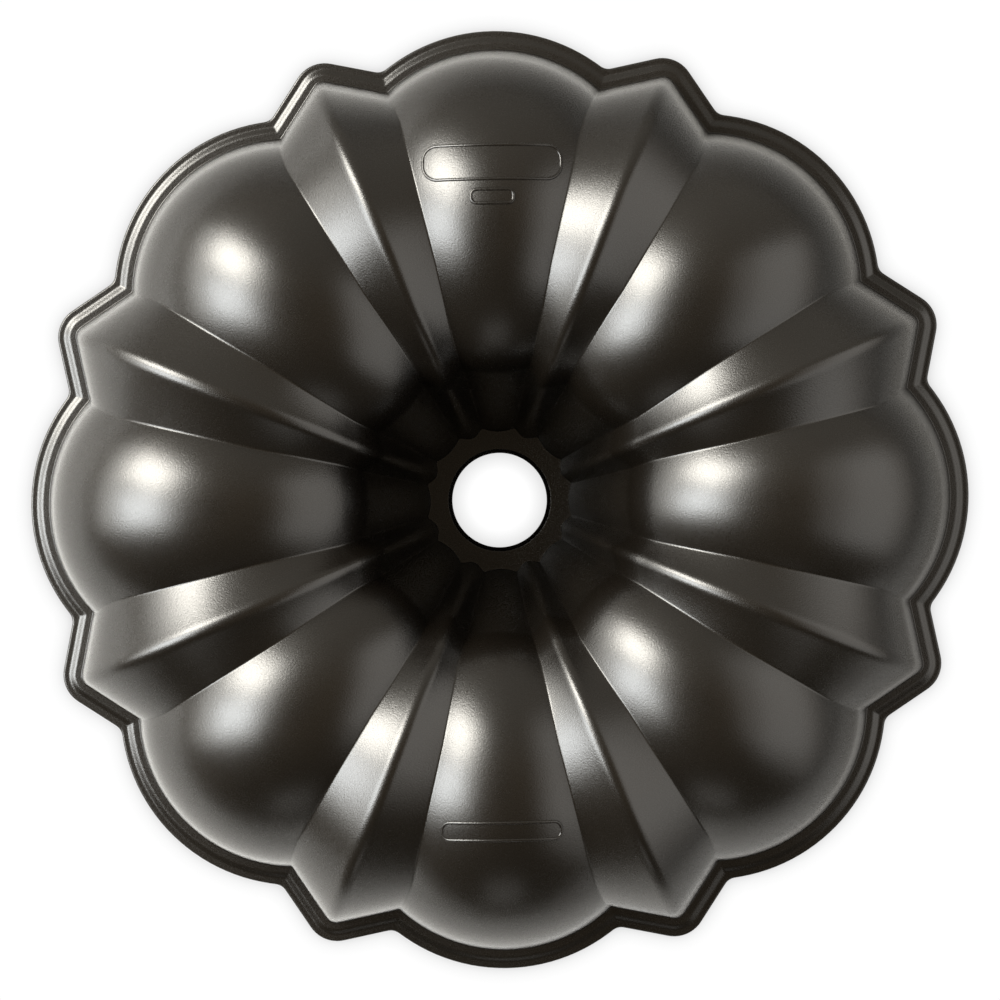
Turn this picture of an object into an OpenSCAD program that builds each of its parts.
// Fluted ring-cake pan in cast aluminium, standing upside down on its rim.
// +Z is up along the axis of the centre tube, and z = 0 is the face of the rim.
// Eight round lobes alternate with eight pointed flutes. A round lobe lies on +X.

/* [Rim] */
// Radius from the axis to the rim at the crest of a round lobe
rim_lobe_r = 133; // [125:0.5:140]
// Radius of the round lobe's own arc at the rim
lobe_arc_r = 49.4; // [46:0.1:53]
// Radius from the axis to where the flanks of a pointed flute would meet
flute_apex_r = 136; // [134:0.5:138]
// Angle between a flank of a pointed flute and the flute's centre line
flute_half_angle = 55.9; // [53:0.1:60]
// Rounding of a pointed flute's tip at the rim
flute_tip_r = 8.9; // [7:0.1:10]
// Thickness of the rim's flat edge
flange_t = 2.8; // [2:0.1:4]
// How far in from the edge the raised step starts
step_inset = 2.6; // [2:0.1:4]
// Height of the raised step above the flat edge
step_h = 0.8; // [0.5:0.1:2]
// How far in from the edge the wall starts
wall_inset = 5.4; // [5:0.1:6]

/* [Wall and base] */
// Height of the base above the rim face, along a crease between flutes
crease_h = 101.5; // [95:0.5:110]
// Thickness of the casting
wall_t = 3.2; // [2.8:0.1:3.6]
// Lean of the outer wall from upright
wall_draft = 7; // [6:0.5:9]
// Radius of the turn from the wall to the base
shoulder_r = 29; // [25:0.5:33]
// Radius of the crown's outer half
crown_r = 43.5; // [41:0.5:48]
// Slope at which the shoulder turns into the crown
shoulder_slope = 45; // [40:1:50]

/* [Centre tube] */
// Radius of the tube's hollow at its narrow end, along a crease
tube_end_r = 21.1; // [20:0.1:22]
// Lean of the tube from upright
tube_draft = 11.75; // [11:0.25:12.5]
// Radius of the turn from the base into the tube
throat_r = 20; // [18:0.5:22]
// Slope at which the crown turns into the throat
throat_slope = 40; // [36:1:44]
// Gap between the rim face and the end plate of the tube
end_gap = 2.5; // [1:0.1:5]
// Thickness of the tube's end plate
end_plate_t = 3.6; // [3:0.1:5]
// Radius of the hole in the end plate
hole_r = 13.6; // [12:0.1:15]
// Radius of the hole at its bevelled mouth
hole_mouth_r = 14.6; // [13:0.1:16]
// Depth of the bevelled mouth
hole_bevel = 1.2; // [0.5:0.1:2]

/* [Coatings] */
// Thickness of the outer coating
coat_t = 0.2; // [0.1:0.05:0.3]
// Thickness of the non-stick lining
lining_t = 0.2; // [0.1:0.05:0.3]
// Bare height at the rim face, so that metal stands on the table
bare_h = 0.3; // [0.2:0.1:1]

/* [Creases] */
// Half-width in degrees of a round lobe, half-way up the wall and over the crown
crease_mid = 13.5; // [13:0.1:14.5]
// The same where the base turns into the tube
crease_throat = 14.4; // [13.5:0.1:15]
// The same at the narrow end of the tube
crease_end = 12.7; // [12:0.1:14]

/* [Hidden] */

LOBES = 8;
PITCH = 360 / LOBES;
LOBE_STEPS = 6;
WALL_STEPS = 3;
SHOULDER_STEPS = 3;
CROWN_STEPS = 3;
THROAT_STEPS = 3;
TUBE_STEPS = 2;

CAST_COLOUR = "silver";
COAT_COLOUR = [0.24, 0.21, 0.18];
LINING_COLOUR = [0.16, 0.15, 0.15];

// The outline, in the half-plane of one lobe and its neighbouring flute.
// inset moves the whole outline in by the same distance.
lobe_centre = rim_lobe_r - lobe_arc_r;
flank_lean = 90 - flute_half_angle;
flank_turn = flank_lean - PITCH / 2;
flank_distance = flute_apex_r * cos(flank_lean);

function crease_corner(inset) =
    let (
        across = flank_distance - inset - lobe_centre * cos(flank_turn),
        along = sqrt(pow(lobe_arc_r - inset, 2) - across * across)
    )
    [lobe_centre + across * cos(flank_turn) + along * sin(flank_turn),
     along * cos(flank_turn) - across * sin(flank_turn)];
function crease_radius(inset) = norm(crease_corner(inset));
function crease_angle(inset) = atan2(crease_corner(inset)[1], crease_corner(inset)[0]);

function round_polar(angle, centre, r) =
    centre * cos(angle) + sqrt(r * r - pow(centre * sin(angle), 2));
function lobe_polar(angle, inset) = round_polar(angle, lobe_centre, lobe_arc_r - inset);
function tip_centre(inset) = (flank_distance - flute_tip_r) / cos(flank_lean);
function tip_angle(inset) =
    let (r = flute_tip_r - inset)
    atan2(r * sin(flank_lean), tip_centre(inset) + r * cos(flank_lean));
function flute_polar(angle, inset) =
    abs(angle) < tip_angle(inset)
        ? round_polar(angle, tip_centre(inset), flute_tip_r - inset)
        : (flank_distance - inset) / cos(flank_lean - abs(angle));

// One pitch of points: a round lobe, then a pointed flute. Each is [is a flute, place -1 to 1].
function pitch_points(inset) =
    let (tip = tip_angle(inset) / (PITCH / 2 - crease_angle(inset)))
    concat(
        [for (i = [0:LOBE_STEPS - 1]) [false, 2 * i / LOBE_STEPS - 1]],
        [for (place = [-1, -tip, 0, tip]) [true, place]]
    );
function point_angle(p, crease) =
    p[0] ? PITCH / 2 + (PITCH / 2 - crease) * p[1] : crease * p[1];
function point_radius(p, inset) =
    let (crease = crease_angle(inset))
    p[0] ? flute_polar((PITCH / 2 - crease) * p[1], inset) : lobe_polar(crease * p[1], inset);

BASE_POINTS = pitch_points(wall_inset);
BASE_CREASE = crease_angle(wall_inset);
base_r = crease_radius(wall_inset);
// How far each point stands out from the crease circle, as a share of that circle's radius.
RELIEF = [for (p = BASE_POINTS) point_radius(p, wall_inset) / base_r - 1];

// A flat ring of the rim's outline.
function outline_ring(inset, z) =
    [for (k = [0:LOBES - 1], p = pitch_points(inset))
        let (a = k * PITCH + point_angle(p, crease_angle(inset)), r = point_radius(p, inset))
        [r * cos(a), r * sin(a), z]];

// The crease line from the rim to the tube's end, as stations [r, z, slope, crease angle].
// The slope is the normal's angle from +Z: outward is positive, and towards the tube is negative.
wall_slope = 90 - wall_draft;
tube_slope = 90 - tube_draft;
wall_z = flange_t + step_h;
plate_z = end_gap + end_plate_t;
wall_rise = crease_h - wall_z - crown_r * (1 - cos(shoulder_slope))
    - shoulder_r * (cos(shoulder_slope) - cos(wall_slope));
crown_centre_r = base_r - wall_rise * tan(wall_draft)
    - shoulder_r * (sin(wall_slope) - sin(shoulder_slope)) - crown_r * sin(shoulder_slope);
throat_drop = throat_r * (cos(throat_slope) - cos(tube_slope));
throat_run = throat_r * (sin(tube_slope) - sin(throat_slope));
// Radius of the crown's inner half, which closes the profile onto the end of the tube.
inner_crown_r = (crown_centre_r - tube_end_r - throat_run
        - (crease_h - plate_z - throat_drop) * tan(tube_draft))
    / (sin(throat_slope) - (1 - cos(throat_slope)) * tan(tube_draft));
tube_rise = crease_h - plate_z - throat_drop - inner_crown_r * (1 - cos(throat_slope));

function arc_point(centre, r, slope) = [centre[0] + r * sin(slope), centre[1] + r * cos(slope)];
outer_crown_centre = [crown_centre_r, crease_h - crown_r];
inner_crown_centre = [crown_centre_r, crease_h - inner_crown_r];
shoulder_centre = arc_point(outer_crown_centre, crown_r - shoulder_r, shoulder_slope);
throat_centre = arc_point(inner_crown_centre, inner_crown_r - throat_r, -throat_slope);

// The crease angle runs straight between the values at these slopes.
function crease_at(slope) = lookup(slope, [
    [-90, crease_end], [-tube_slope, crease_throat - 0.6], [-throat_slope, crease_throat],
    [-10, crease_mid], [shoulder_slope, crease_mid], [90, BASE_CREASE]]);
function arc_stations(centre, r, from, to, steps) =
    [for (i = [0:steps])
        let (slope = from + (to - from) * i / steps)
        concat(arc_point(centre, r, slope), [slope, crease_at(slope)])];
function wall_station(z) =
    let (part = (z - wall_z) / wall_rise)
    [base_r - (z - wall_z) * tan(wall_draft), z, wall_slope,
     BASE_CREASE + (crease_at(wall_slope) - BASE_CREASE) * part];
function tube_station(z) =
    let (part = (z - plate_z) / tube_rise)
    [tube_end_r + (z - plate_z) * tan(tube_draft), z, -tube_slope,
     crease_end + (crease_at(-tube_slope) - crease_end) * part];

WALL = [for (i = [0:WALL_STEPS]) wall_station(wall_z + wall_rise * i / WALL_STEPS)];
CROWN = concat(
    arc_stations(shoulder_centre, shoulder_r, wall_slope, shoulder_slope, SHOULDER_STEPS),
    [for (s = arc_stations(outer_crown_centre, crown_r, shoulder_slope, 0, CROWN_STEPS))
        if (s[2] < shoulder_slope) s],
    [for (s = arc_stations(inner_crown_centre, inner_crown_r, 0, -throat_slope, CROWN_STEPS))
        if (s[2] < 0) s],
    [for (s = arc_stations(throat_centre, throat_r, -throat_slope, -tube_slope, THROAT_STEPS))
        if (s[2] < -throat_slope) s]
);
TUBE = [for (i = [TUBE_STEPS:-1:0]) tube_station(plate_z + tube_rise * i / TUBE_STEPS)];
// The stretch between the wall's foot and the tube's foot.
MIDDLE = concat([for (i = [1:len(WALL) - 1]) WALL[i]], [for (i = [1:len(CROWN) - 1]) CROWN[i]],
    [for (i = [1:len(TUBE) - 2]) TUBE[i]]);

// A fluted ring at a station, depth below the casting's outer face. The relief and the depth
// run level on the straight wall and tube, and turn upright over the crown.
function lift_angle(slope) = slope > 0 ? slope * 90 / wall_slope : slope * 90 / tube_slope;
function fluted_ring(s, depth) =
    [for (k = [0:LOBES - 1], i = [0:len(BASE_POINTS) - 1])
        let (
            a = k * PITCH + point_angle(BASE_POINTS[i], s[3]),
            out = s[0] * RELIEF[i] - depth,
            r = s[0] + out * sin(lift_angle(s[2])),
            z = s[1] + out * cos(lift_angle(s[2]))
        )
        [r * cos(a), r * sin(a), z]];
function at_height(ring, z) = [for (p = ring) [p[0], p[1], z]];
function round_ring(r, z) = [for (p = fluted_ring(tube_station(plate_z), 0))
    let (a = atan2(p[1], p[0])) [r * cos(a), r * sin(a), z]];
function flat(ring) = [for (p = ring) [p[0], p[1]]];

// A closed band: rings joined one to the next, and the last to the first.
module ring_skin(rings) {
    count = len(rings);
    around = len(rings[0]);
    points = [for (ring = rings, p = ring) p];
    faces = [for (i = [0:count - 1], j = [0:around - 1])
        let (
            a = i * around + j,
            b = i * around + (j + 1) % around,
            c = ((i + 1) % count) * around + (j + 1) % around,
            d = ((i + 1) % count) * around + j
        )
        each [[a, d, c], [a, c, b]]];
    polyhedron(points = points, faces = faces, convexity = 10);
}

// The casting between two depths along a list of stations.
module casting_zone(stations) {
    last = len(stations) - 1;
    ring_skin(concat(
        [for (s = stations) fluted_ring(s, 0)],
        [for (i = [last:-1:0]) fluted_ring(stations[i], wall_t)]
    ));
}

module rim_flange() {
    mouth = flat(fluted_ring(wall_station(wall_z), wall_t));
    color(CAST_COLOUR)
    difference() {
        union() {
            linear_extrude(flange_t) polygon(flat(outline_ring(0, 0)));
            linear_extrude(wall_z) polygon(flat(outline_ring(step_inset, 0)));
        }
        translate([0, 0, -1]) linear_extrude(wall_z + 2) polygon(mouth);
    }
}

module fluted_wall() {
    color(CAST_COLOUR) casting_zone(WALL);
}

module fluted_base() {
    color(CAST_COLOUR) casting_zone(CROWN);
}

module centre_tube() {
    color(CAST_COLOUR) casting_zone(TUBE);
}

module tube_end_ring() {
    color(CAST_COLOUR)
    difference() {
        translate([0, 0, end_gap]) linear_extrude(end_plate_t)
            polygon(flat(fluted_ring(tube_station(plate_z), wall_t)));
        cylinder(h = plate_z + 1, r = hole_r, $fn = 96);
        translate([0, 0, plate_z - hole_bevel])
            cylinder(h = hole_bevel, r1 = hole_r, r2 = hole_mouth_r, $fn = 96);
    }
}

module outer_coating() {
    foot = wall_station(wall_z + coat_t);
    end = tube_station(plate_z + coat_t);
    color(COAT_COLOUR)
    ring_skin(concat(
        [outline_ring(-coat_t, bare_h), outline_ring(-coat_t, flange_t + coat_t),
         outline_ring(step_inset - coat_t, flange_t + coat_t),
         outline_ring(step_inset - coat_t, wall_z + coat_t), fluted_ring(foot, -coat_t)],
        [for (s = MIDDLE) fluted_ring(s, -coat_t)],
        [fluted_ring(end, -coat_t), round_ring(hole_mouth_r, plate_z + coat_t),
         round_ring(hole_mouth_r, plate_z), fluted_ring(TUBE[TUBE_STEPS], 0)],
        [for (i = [len(MIDDLE) - 1:-1:0]) fluted_ring(MIDDLE[i], 0)],
        [fluted_ring(WALL[0], 0), outline_ring(step_inset, wall_z),
         outline_ring(step_inset, flange_t), outline_ring(0, flange_t), outline_ring(0, bare_h)]
    ));
}

module nonstick_lining() {
    foot = fluted_ring(WALL[0], wall_t);
    foot_lining = fluted_ring(WALL[0], wall_t + lining_t);
    end = fluted_ring(TUBE[TUBE_STEPS], wall_t);
    end_lining = fluted_ring(TUBE[TUBE_STEPS], wall_t + lining_t);
    color(LINING_COLOUR)
    ring_skin(concat(
        [at_height(foot, bare_h), foot],
        [for (s = MIDDLE) fluted_ring(s, wall_t)],
        [end, at_height(end, end_gap), round_ring(hole_mouth_r, end_gap),
         round_ring(hole_mouth_r, end_gap - lining_t), at_height(end_lining, end_gap - lining_t),
         end_lining],
        [for (i = [len(MIDDLE) - 1:-1:0]) fluted_ring(MIDDLE[i], wall_t + lining_t)],
        [foot_lining, at_height(foot_lining, bare_h)]
    ));
}

rim_flange();
fluted_wall();
fluted_base();
centre_tube();
tube_end_ring();
outer_coating();
nonstick_lining();
